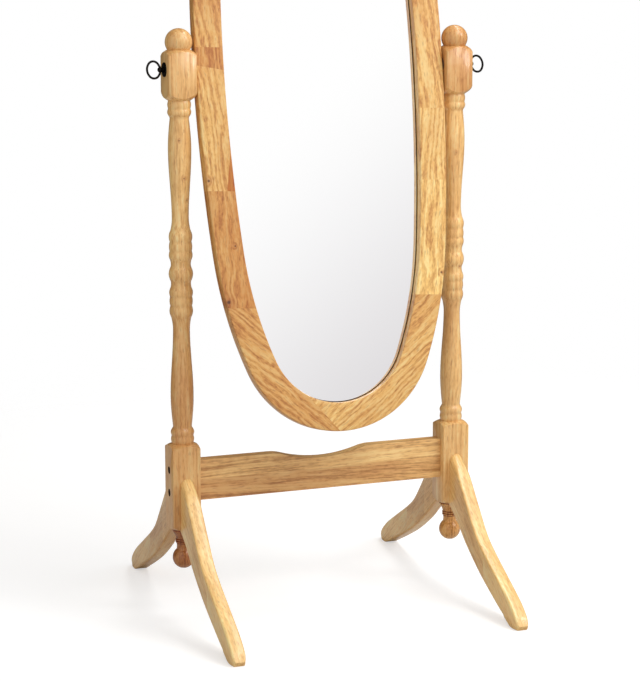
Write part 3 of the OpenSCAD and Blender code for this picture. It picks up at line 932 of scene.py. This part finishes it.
@dataclass
class Leg:
    """A bandsawn leg with well rounded edges, let into its post.

    Its outline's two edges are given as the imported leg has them: as shares of the leg's reach
    beyond the block, and of the height at the block. What changes along the leg is given as shares
    of the way along its edges, from the block to the toe.
    """

    node: str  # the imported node
    shop: Workshop  # where finishes come from
    tone: float  # how dark it is drawn: its timber's tone, and painted shade on the back legs
    reach: float = 0.276  # from the post's axis to the toe's tip
    half_block: float = 0.0225  # half the post's thickness
    edge: float = 0.0145  # from the post's axis to the leg's inner end, in its groove
    thickness: float = 0.022  # across the leg
    height: float = 0.221  # the leg's rounded top above the floor
    block_z: float = 0.137  # the block's underside above the floor
    softness: float = 0.0034  # the radius of the upper edges
    keel: float = 0.004  # the radius of the lower edges
    crisp: float = 0.0004  # that radius at the block
    toe_keel: float = 0.0015  # that radius under the toe
    round_until: float = 0.14  # how far the top stays fully round before it eases to its softness
    crisp_until: float = 0.1  # how far the lower edges take to reach their radius
    toe_from: float = 0.84  # where the toe starts
    taper_from: float = 0.955  # where the leg starts to grow thinner
    taper: float = 0.005  # how much thinner it is at the tip
    inner_ease: float = 0.0009  # how far the hidden inner end's edges are eased
    lamination: float = -0.004  # where its two boards meet, from the middle of the leg
    # The upper edge
    top: Sequence[Pair] = (
        (0, 1), (0.116, 0.882), (0.25, 0.701), (0.389, 0.518), (0.511, 0.416),
        (0.688, 0.299), (0.866, 0.181), (0.953, 0.104), (0.988, 0.054), (1, 0.032),
    )
    # The lower edge
    under: Sequence[Pair] = (
        (0, 1), (0.05, 0.927), (0.148, 0.788), (0.266, 0.613), (0.463, 0.382),
        (0.65, 0.205), (0.75, 0.118), (0.83, 0.055), (0.9, 0), (0.945, 0), (0.984, 0),
    )
    sections: int = 60  # how many sections it has
    corner_steps: int = 6  # how many steps each rounded corner has

    def smoothed(self, shares: Sequence[Pair], height: float) -> list[Vector]:
        """Draws a smooth curve through an edge's points.

        Args:
            shares: the points, as shares of the reach beyond the block and of the height.
            height: what the second share is a share of.

        Returns:
            Points (distance from the axis, height), close together.
        """
        run = self.reach - self.half_block
        points = [Vector((self.half_block + a * run, b * height)) for a, b in shares]
        steps = 12
        fine: list[Vector] = []
        for a, b, c, d in zip([points[0], *points], points, points[1:], [*points[2:], points[-1]]):
            for t in (step / steps for step in range(steps)):
                bend = (2 * a - 5 * b + 4 * c - d) * t**2
                fine.append((2 * b + (c - a) * t + bend + (3 * b - a - 3 * c + d) * t**3) * 0.5)
        fine.append(points[-1])
        return [Vector((p.x, max(p.y, 0.0))) for p in fine]

    def curve(self, shares: Sequence[Pair], height: float) -> list[Vector]:
        """Draws a smooth edge with its points evenly spaced.

        Args:
            shares: the points, as shares of the reach beyond the block and of the height.
            height: what the second share is a share of.

        Returns:
            Points (distance from the axis, height), one for each section.
        """
        fine = self.smoothed(shares, height)
        lengths = [0.0]
        for p, q in zip(fine, fine[1:]):
            lengths.append(lengths[-1] + (q - p).length)
        even: list[Vector] = []
        at = 0
        for k in range(self.sections + 1):
            want = lengths[-1] * k / self.sections
            while at < len(fine) - 2 and lengths[at + 1] < want:
                at += 1
            span = max(lengths[at + 1] - lengths[at], 1e-9)
            even.append(fine[at].lerp(fine[at + 1], (want - lengths[at]) / span))
        return even

    def section(
        self, top: Vector, under: Vector, crown: float, keel: float, width: float
    ) -> list[Vector]:
        """One rounded section from the top edge to the underside.

        Args:
            top: the section's highest point, as (distance, height).
            under: its lowest point.
            crown: radius of its upper corners.
            keel: radius of its lower corners.
            width: its thickness.

        Returns:
            Points as (across, distance, height).
        """
        tall = (top - under).length
        up = (top - under) / tall
        half = width / 2
        ring: list[Vector] = []
        corners = ((1, tall, crown), (-1, tall, crown), (-1, 0.0, keel), (1, 0.0, keel))
        for quarter, (side, level, radius) in enumerate(corners):
            radius = min(radius, half * 0.999, tall * 0.49)
            middle = level - radius if level else radius
            for k in range(self.corner_steps + 1):
                a = math.radians(90.0 * (quarter + k / self.corner_steps))
                spot = under + up * (middle + radius * math.sin(a))
                across = side * (half - radius) + radius * math.cos(a)
                ring.append(Vector((across, spot.x, spot.y)))
        return ring

    def rings(self) -> list[list[Vector]]:
        """Draws the leg's sections.

        Returns:
            Rings of points as (across, distance, height), from the inner end to the toe's tip.
        """
        half = self.thickness / 2
        inner = [Vector((self.edge, level)) for level in (self.height, self.block_z)]
        made = [self.section(*inner, half, self.crisp, self.thickness)]
        edges = zip(self.curve(self.top, self.height), self.curve(self.under, self.block_z))
        for k, (top, under) in enumerate(edges):
            share = k / self.sections
            ease = min(1.0, share / self.round_until)
            crown = half + (self.softness - half) * ease * ease * (3 - 2 * ease)
            keel = self.crisp + (self.keel - self.crisp) * min(1.0, share / self.crisp_until)
            if share > self.toe_from:
                keel = self.toe_keel
            late = max(0.0, (share - self.taper_from) / (1.0 - self.taper_from))
            width = self.thickness - self.taper * late * late
            made.append(self.section(top, under, crown, keel, width))
        return made

    def build(self) -> None:
        """Builds and dresses the leg."""
        low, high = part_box(self.node)
        axis = centre_line(self.node)
        sign = 1.0 if high[1] > -low[1] else -1.0
        mesh = loft([[Vector((p.x + axis.x, sign * p.y, p.z)) for p in r] for r in self.rings()])
        inner_end = next(f for f in mesh.faces if len(f.verts) > 4)
        bmesh.ops.bevel(
            mesh,
            geom=list(inner_end.edges),
            offset=self.inner_ease,
            segments=2,
            affect="EDGES",
            clamp_overlap=True,
        )
        made = to_object(mesh, f"{self.node}_shaped", self.shop.coat(Finish.LEG), 45.0)
        # The blank is cut on the slant, so that the grain runs from the groove to the toe.
        grain = Vector((0.0, sign * 0.78, -0.62))
        seam = Vector((0.0, sign * 0.62, 0.78))
        centre = axis + Vector((0.0, sign * 0.12, 0.1))
        outer = Board(centre, grain, (52.0, 18.0), 2.0, self.tone)
        inner = Board(centre + BACK * 0.02, grain, (-34.0, 22.0), -3.0, self.tone + 0.14)
        split = [(p.center - centre).dot(seam) for p in made.data.polygons]
        mark_boards(made, lambda i: outer if split[i] > self.lamination else inner)
        self.shop.seat(made, self.node, "stand", "leg_wood")


# ---- the mirror


@dataclass(frozen=True)
class GlueLine:
    """A joint in the frame, as a straight cut across one of its members."""

    # The cut's middle, in the mirror's plane, as (across, up) from the pivot, in mm
    at: Pair
    along: Pair  # the direction of the cut
    reach: float = 60.0  # how far from its middle the cut goes, in mm


@dataclass
class MirrorPanel:
    """The oval frame with its glass, backing board and screws."""

    shop: Workshop  # where finishes come from
    pivot: float = 0.855  # the height of the pivot
    tilt_deg: float = 10.0  # how far the top leans back
    width: float = 0.410  # across the oval
    height: float = 1.156  # along the oval
    rise: float = 0.010  # the oval's centre above the pivot
    end_share: float = 0.77  # radius of the end arcs as a share of half the width
    # Where the side arc meets the shoulder arc, and that the end arc
    turns_deg: Pair = (5.5, 22.0)
    steps: tuple[int, int, int] = (22, 14, 34)  # how many points each arc has in one quarter
    face: float = 0.0445  # width of the frame's face
    # Where the face's flat has lines along it, as shares of its width
    flats: Pair = (0.35, 0.68)
    thickness: float = 0.021  # front to back
    glass_lap: float = 0.006  # how far the glass runs past the sight edge
    board_lap: float = 0.016  # how far the board runs past the sight edge
    glass_front: float = 0.0035  # the glass's front face behind the frame's middle plane
    board_front: float = 0.0075  # the board's front face behind the frame's middle plane
    outer_round: float = 0.0022  # radius of the outside edges
    sight_round: float = 0.0016  # radius of the edge by the glass
    glass_play: float = 0.0002  # the play that the glass has in its rebate
    line: float = 0.0016  # width of the dark line along the glass's visible edge
    bore_radius: float = 0.00605  # radius of the bores for the threaded inserts
    bore_depth: float = 0.021  # how deep they are
    clear: float = 0.002  # how far the drill stands out
    # Where its lengths meet
    glue_lines: Sequence[GlueLine] = (
        GlueLine((-186, 32), (1, -0.03)),
        GlueLine((-186, 1), (1, -0.18)),
        GlueLine((-183, -188), (1, -0.05)),
        GlueLine((-160, -368), (1, -0.07)),
        GlueLine((-162, -152), (10, 70), 38),
        GlueLine((-184, 236), (1, 0.04)),
        GlueLine((-150, 420), (1, -0.35)),
        GlueLine((182, -184), (1, -0.04)),
        GlueLine((160, -365), (1, -0.06)),
        GlueLine((185, -256), (0.11, 1), 73),
        GlueLine((182, -330), (1, -0.05), 22),
        GlueLine((184, -70), (1, -0.03)),
        GlueLine((186, 150), (1, 0.03)),
        GlueLine((170, 345), (1, 0.2)),
        GlueLine((-34, -536), (34, -40), 52),
        GlueLine((40, 566), (0.35, 1)),
    )
    # How dark each length is, counter-clockwise from the one that crosses the right side
    tones: Sequence[float] = (
        0.25, 0.4, 0.2, 0.45, 0.3, 0.4, 0.55, 0.3, 0.95, 0.5, 0.45, 0.25, 0.0, 0.2,
    )
    body: str = "mirror"  # the body that it belongs to

    def arcs(self) -> tuple[tuple[Vector, float], tuple[Vector, float], tuple[Vector, float]]:
        """Solves the oval's three arcs for one quarter.

        Returns:
            Centre and radius of the side, shoulder and end arc.
        """
        first, second = (math.radians(a) for a in self.turns_deg)
        end_r = self.end_share * self.width / 2
        p = self.width / 2 - end_r * math.cos(second)
        q = self.height / 2 - end_r * (1 - math.sin(second))
        s = math.sin(second) - math.sin(first)
        c = math.cos(first) - math.cos(second)
        k = (1 - math.cos(first)) * s - c * math.sin(first)
        side_r = (p * s - q * c) / k
        shoulder_r = (q * (1 - math.cos(first)) - p * math.sin(first)) / k
        side = Vector((self.width / 2 - side_r, 0.0))
        shoulder = side + (side_r - shoulder_r) * Vector((math.cos(first), math.sin(first)))
        end = Vector((0.0, self.height / 2 - end_r))
        return (side, side_r), (shoulder, shoulder_r), (end, end_r)

    def oval(self, inset: float) -> list[Vector]:
        """Draws the oval at a distance inside the frame's outside edge.

        Args:
            inset: the distance.

        Returns:
            Points (across, up) from the oval's centre, once round.
        """
        bounds = [0.0, *self.turns_deg, 90.0]
        quarter: list[Vector] = []
        for (centre, radius), start, end, count in zip(self.arcs(), bounds, bounds[1:], self.steps):
            for k in range(count):
                a = math.radians(start + (end - start) * k / count)
                quarter.append(centre + (radius - inset) * Vector((math.cos(a), math.sin(a))))
        top = Vector((0.0, self.height / 2 - inset))
        left = [Vector((-p.x, p.y)) for p in reversed(quarter)]
        upper = [*quarter, top, *left]
        lower = [Vector((-p.x, -p.y)) for p in upper[1:-1]]
        return [*upper, *lower]

    def seat(self) -> Matrix:
        """The turn and lift that stands a flat mirror in its place."""
        return Matrix.Translation(UP * self.pivot) @ Matrix.Rotation(
            math.radians(-self.tilt_deg), 4, "X"
        )

    def install(self, made: Object, node: str, slot: str) -> None:
        """Stands a flat piece in its place."""
        made.data.transform(self.seat())
        self.shop.seat(made, node, self.body, slot)

    def section(self) -> list[Pair]:
        """The frame's cross-section.

        Returns:
            Corners as (inset from the outside, depth behind the middle plane), once round.
        """
        front, back = -self.thickness / 2, self.thickness / 2
        outer, sight, face = self.outer_round, self.sight_round, self.face

        def corner(d: float, y: float, radius: float, start: float) -> list[Pair]:
            """A rounded corner about a centre."""
            turns = [math.radians(start + 90.0 * k / 4) for k in range(5)]
            return [(d + radius * math.cos(a), y + radius * math.sin(a)) for a in turns]

        return [
            *corner(outer, front + outer, outer, 180.0),
            *((face * share, front) for share in self.flats),
            *corner(face - sight, front + sight, sight, 270.0),
            (face, self.glass_front),
            (face - self.glass_lap, self.glass_front),
            (face - self.glass_lap, self.board_front),
            (face - self.board_lap, self.board_front),
            (face - self.board_lap, back),
            *corner(outer, back - outer, outer, 90.0),
        ]

    def frame(self) -> None:
        """Makes the frame: routed to shape from glued lengths, with rebates behind."""
        corners = self.section()
        ovals = {d: self.oval(d) for d, _ in corners}
        rings = [
            [Vector((ovals[d][i].x, y, ovals[d][i].y + self.rise)) for d, y in corners]
            for i in range(len(self.oval(0.0)))
        ]
        blank = loft(rings, closed=True)
        bmesh.ops.recalc_face_normals(blank, faces=blank.faces)
        mesh = self.bored(blank)
        self.cut_glue_lines(mesh)
        boards: dict[Face, Board] = {}
        lengths = self.lengths(mesh)
        for number, faces in enumerate(lengths):
            boards.update(dict.fromkeys(faces, self.board(number, faces)))
        owner = [boards[face] for face in mesh.faces]
        made = to_object(mesh, "glued_oval_frame", self.shop.coat(Finish.FRAME), 60.0)
        mark_boards(made, lambda i: owner[i])
        self.install(made, "mirror_frame", "frame_wood")
        LOG.info("%s has %d lengths", made.name, len(lengths))

    def bored(self, blank: Mesh) -> Mesh:
        """Bores the frame's sides for the two threaded inserts.

        Args:
            blank: the frame lying flat about the pivot, which is freed.

        Returns:
            The bored frame, still open for editing.
        """
        tool = bmesh.new()
        middle = (self.width - self.bore_depth + self.clear) / 2
        for side in (-1, 1):
            bmesh.ops.create_cone(
                tool,
                cap_ends=True,
                segments=48,
                radius1=self.bore_radius,
                radius2=self.bore_radius,
                depth=self.bore_depth + self.clear,
                matrix=Matrix.Translation(ACROSS * side * middle)
                @ Matrix.Rotation(math.pi / 2, 4, "Y"),
            )
        frame, drill = (
            linked(name, to_data(mesh, name))
            for name, mesh in (("frame_blank", blank), ("insert_drill", tool))
        )
        cut = frame.modifiers.new("Insert bores", "BOOLEAN")
        cut.operation = "DIFFERENCE"
        cut.object = drill
        cut.solver = "EXACT"
        bpy.context.view_layer.update()
        bored = bmesh.new()
        bored.from_object(frame, bpy.context.evaluated_depsgraph_get())
        for part in (frame, drill):
            bpy.data.objects.remove(part)
        return bored

    def cut_glue_lines(self, mesh: Mesh) -> None:
        """Cuts the frame's faces along its glue lines and marks the cuts as seams.

        Args:
            mesh: the frame, lying flat.
        """
        for line in self.glue_lines:
            middle = Vector((line.at[0], 0.0, line.at[1])) * MM
            faces = []
            for face in mesh.faces:
                away = face.calc_center_median() - middle
                if math.hypot(away.x, away.z) < line.reach * MM:
                    faces.append(face)
            across = Vector((-line.along[1], 0.0, line.along[0]))
            for edge in cut_plane(mesh, middle, across, faces):
                edge.seam = True

    def lengths(self, mesh: Mesh) -> list[list[Face]]:
        """Finds the lengths of timber that the glue lines leave.

        Args:
            mesh: the frame with its glue lines marked.

        Returns:
            Each length's faces, counter-clockwise from the right as seen from the front.
        """
        left = dict.fromkeys(mesh.faces)
        found: list[list[Face]] = []
        while left:
            queue = [next(iter(left))]
            left.pop(queue[0])
            found.append(list(queue))
            while queue:
                for edge in queue.pop().edges:
                    for other in () if edge.seam else edge.link_faces:
                        if other in left:
                            left.pop(other)
                            found[-1].append(other)
                            queue.append(other)

        def turn(faces: Sequence[Face]) -> float:
            """How far round the oval a length's middle lies."""
            middle = middle_of(faces)
            return math.atan2(middle.z, middle.x) % math.tau

        return sorted(found, key=turn)

    def board(self, number: int, faces: Sequence[Face]) -> Board:
        """Gives a length of the frame its own board, with the grain along the oval.

        Args:
            number: which length it is.
            faces: its faces.

        Returns:
            Its board.
        """

        def varied(reach: float, rate: float, phase: float = 0.0) -> float:
            """A value that changes from length to length, by no more than its reach."""
            return reach * math.sin(number * rate + phase)

        middle = middle_of(faces)
        flat = Vector((middle.x, middle.z - self.rise))
        spine = self.oval(self.face / 2)
        nearest = min(range(len(spine)), key=lambda i: (spine[i] - flat).length)
        run = spine[(nearest + 1) % len(spine)] - spine[nearest - 1]
        grain = Vector((run.x, 0.0, run.y)).normalized()
        grain += Vector((grain.z, 0.0, -grain.x)) * varied(0.08, 2.4)
        pith = (38.0 + varied(26.0, 1.9), 30.0 + varied(18.0, 2.7, math.pi / 2))
        apart = 0.031  # no two lengths show the same stretch of grain
        origin = middle + grain * apart * number
        tone = self.tones[number]
        LOG.info("length %d at (%.0f, %.0f) mm, tone %.2f", number, *flat / MM, tone)
        return Board(origin, grain, pith, varied(5.0, 1.3, 0.6), tone)

    def glass(self) -> None:
        """Makes the glass, with the dark line that the shaded rebate draws along its edge."""
        front = self.glass_front + self.glass_play
        back = self.board_front - self.glass_play
        hidden = self.face - self.glass_lap + 2 * self.glass_play
        outlines = (
            (hidden, back), (hidden, front), (self.face, front), (self.face + self.line, front),
        )
        rings = [
            [Vector((p.x, depth, p.y + self.rise)) for p in self.oval(inset)]
            for inset, depth in outlines
        ]
        mesh = loft(rings)
        made = to_object(mesh, "oval_glass", self.shop.coat(Finish.GLASS))
        made.data.materials.append(self.shop.coat(Finish.SHADED))
        count = len(rings[0])
        for polygon in made.data.polygons[2 * count : 3 * count]:
            polygon.material_index = 1
        self.install(made, "mirror_glass", "mirror_silver")

    def build(self) -> None:
        """Builds and dresses the whole panel."""
        self.frame()
        self.glass()
        self.shop.dress_nodes(Finish.HARDBOARD, "backing_board")
        self.shop.dress_nodes(Finish.GILT, "backing_screws")


def middle_of(faces: Sequence[Face]) -> Vector:
    """The mean of some faces' centres."""
    return sum((face.calc_center_median() for face in faces), Vector()) / len(faces)


@dataclass
class Pivots:
    """The ring bolts, rosettes, spacers and inserts that hold the mirror."""

    shop: Workshop

    def build(self) -> None:
        """Dresses all of the pivot's pieces."""
        for side in SIDES:
            self.shop.dress_nodes(Finish.STEEL, f"{side}_pivot_insert")
            self.shop.dress_nodes(Finish.NYLON, f"{side}_spacer")
            self.shop.dress_nodes(Finish.BRONZE, f"{side}_rosette", f"{side}_ring_bolt")


# ---- the studio


@dataclass(frozen=True)
class Lamp:
    """A soft box: where it hangs, its width and height, its power and the point that it faces."""

    name: str
    place: Triple
    size: Pair
    watts: float
    aim: Triple = (0.0, 0.0, 0.7)

    def hang(self) -> None:
        """Hangs it."""
        data = bpy.data.lights.new(self.name, "AREA")
        data.shape = "RECTANGLE"
        data.size, data.size_y = self.size
        data.energy = self.watts
        made = linked(self.name, data)
        made.location = self.place
        away = Vector(self.place) - Vector(self.aim)
        made.rotation_euler = away.to_track_quat("Z", "Y").to_euler()


@dataclass
class Studio:
    """A pale floor, soft lamps, a white surround and the camera."""

    eye: Triple = (-1.1400, -2.9938, 1.0188)  # where the camera stands
    heading_deg: float = 20.848  # which way it looks, clockwise from straight back
    pitch_deg: float = 8.664  # how far it looks down
    lens_mm: float = 108.243  # focal length on a 36 mm frame along the long side
    shift: float = -0.1  # how far the frame is slid down
    floor_size: float = 3.2  # from the floor's middle to its edge
    # Where the floor starts and ends to fade away, as shares of its size
    floor_fade: Pair = (0.28, 0.62)
    floor_lift: float = 0.52  # what is added for the camera so that unshadowed paper is pure white
    ambient: float = 0.68  # how bright the surround's light is
    # The soft boxes
    lamps: Sequence[Lamp] = (
        Lamp("key", (2.3, -2.0, 2.5), (1.1, 1.1), 30.0),
        Lamp("front", (0.7, -3.3, 3.5), (1.4, 1.4), 16.0),
        Lamp("strip", (1.0, -0.4, 2.7), (0.6, 3.4), 38.0, (1.0, -0.4, 0.0)),
    )

    def camera(self) -> None:
        """Places the camera."""
        data = bpy.data.cameras.new("camera")
        data.sensor_width = 36.0
        data.lens = self.lens_mm
        data.shift_y = self.shift
        data.clip_start, data.clip_end = 0.05, 60.0
        made = linked("camera", data)
        made.location = self.eye
        turns = (90.0 - self.pitch_deg, 0.0, -self.heading_deg)
        made.rotation_euler = tuple(math.radians(turn) for turn in turns)
        bpy.context.scene.camera = made

    def floor(self) -> None:
        """Lays a wide white floor that keeps the object's soft shadow."""
        mesh = bmesh.new()
        bmesh.ops.create_grid(mesh, x_segments=1, y_segments=1, size=self.floor_size)
        made = linked("floor", to_data(mesh, "floor"))
        material = bpy.data.materials.new("Paper, white, matt")
        graph = Graph(material)
        place = graph.place()
        away = graph.vectors("LENGTH", place).outputs["Value"]
        start, end = (share * self.floor_size for share in self.floor_fade)
        seen = graph.add("ShaderNodeLightPath").outputs["Is Camera Ray"]
        look = {
            "Base Color": linear("#CCCCCC"),
            "Roughness": 0.9,
            "Specular IOR Level": 0.1,
            "Emission Color": linear("#FFFFFF"),
            "Emission Strength": graph.numbers("MULTIPLY", seen, self.floor_lift),
            "Normal": graph.bump(graph.noise(place, 900.0, 2.0), 0.05, 0.0002),
        }
        fade = graph.span(away, start, end, ease="SMOOTHSTEP")
        clear = graph.add("ShaderNodeBsdfTransparent").outputs["BSDF"]
        mix = {0: fade, 1: graph.principled(look), 2: clear}
        graph.finish(graph.add("ShaderNodeMixShader", None, mix).outputs[0])
        made.data.materials.append(material)

    def surround(self) -> None:
        """Lights the scene evenly and shows white, which greys towards the low right in mirrors."""
        bpy.context.scene.world = bpy.data.worlds.new("surround")
        graph = Graph(bpy.context.scene.world)
        rays = graph.add("ShaderNodeLightPath").outputs
        direction = graph.add("ShaderNodeTexCoord").outputs["Generated"]
        white = linear("#FFFFFF")

        def towards(way: Triple, low: float, high: float) -> Any:
            """How far a direction leans one way, eased from 0 to 1."""
            lean = graph.vectors("DOT_PRODUCT", direction, way).outputs["Value"]
            return graph.span(lean, low, high, ease="SMOOTHSTEP")

        def glow(colour: Any, strength: float = 1.0) -> Socket:
            """An even light."""
            links = {"Color": colour, "Strength": strength}
            return graph.add("ShaderNodeBackground", None, links).outputs[0]

        def either(amount: Any, first: Any, last: Any) -> Socket:
            """The first light, or the last for some rays."""
            links = {0: amount, 1: first, 2: last}
            return graph.add("ShaderNodeMixShader", None, links).outputs[0]

        behind = towards((0.0, 1.0, 0.0), -0.35, 0.4)
        low_right = towards((0.75, 0.0, -1.0), 0.0, 0.22)
        grey = graph.mixed(low_right, white, linear("#DAD7D9"))
        mirrored = glow(graph.mixed(behind, grey, linear("#3E3B38")))
        light = glow(graph.mixed(behind, white, linear("#C8C4BE")), self.ambient)
        glossy = graph.numbers("MAXIMUM", rays["Is Glossy Ray"], rays["Is Transmission Ray"])
        lit = either(glossy, light, mirrored)
        graph.finish(either(rays["Is Camera Ray"], lit, glow(white)), world=True)

    def build(self) -> None:
        """Sets up the whole studio."""
        bpy.context.scene.view_settings.view_transform = "Standard"
        self.camera()
        self.floor()
        self.surround()
        for lamp in self.lamps:
            lamp.hang()
        LOG.info("studio ready")


# ---- main


def corners(box: tuple[Sequence[float], Sequence[float]]) -> list[list[float]]:
    """A box as plain lists."""
    return [[float(v) for v in corner] for corner in box]


def main() -> None:
    """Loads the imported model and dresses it."""
    logging.basicConfig(level=logging.INFO, format="%(message)s")
    for leftover in list(bpy.data.objects):
        bpy.data.objects.remove(leftover)
    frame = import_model()
    shop = Workshop(frame["nodes"])
    Studio().build()
    Stand(shop).build()
    # The back legs are drawn darker than the front ones: painted shade, for the less light that
    # reaches them.
    leg_tones_with_shade = {"front_left": 0.0, "front_right": 0.02, "back_left": 0.25, "back_right": 0.12}
    for place, tone in leg_tones_with_shade.items():
        Leg(f"{place}_leg", shop, tone).build()
    MirrorPanel(shop).build()
    Pivots(shop).build()


if __name__ == "__main__":
    main()
